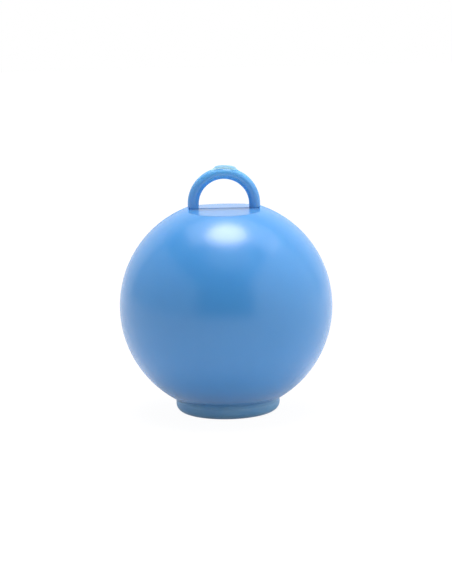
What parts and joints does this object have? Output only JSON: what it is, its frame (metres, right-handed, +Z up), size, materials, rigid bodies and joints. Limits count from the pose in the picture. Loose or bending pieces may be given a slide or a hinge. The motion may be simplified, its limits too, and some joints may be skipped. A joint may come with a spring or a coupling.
{
  "type": "balloon weight",
  "caption": "Hollow ball-shaped balloon weight with a half-round ribbon loop on a flat top and a short round foot, parted in the loop's plane, plugged underneath and filled with sand.",
  "frame": {"origin": "middle of the resting ring under the foot, on the surface that the weight stands on", "axes": "+Z up through the ball and the loop, +X along the plane of the loop, -Y towards the front as pictured"},
  "size_m": [0.055, 0.055, 0.0641],
  "materials": {
    "shell_plastic": "satin",
    "plug_plastic": "satin",
    "sand": "matte"
  },
  "bodies": {
    "root": {"front_shell": "shell_plastic", "rear_shell": "shell_plastic", "base_plug": "plug_plastic", "sand_ballast": "sand"}
  },
  "joints": []
}
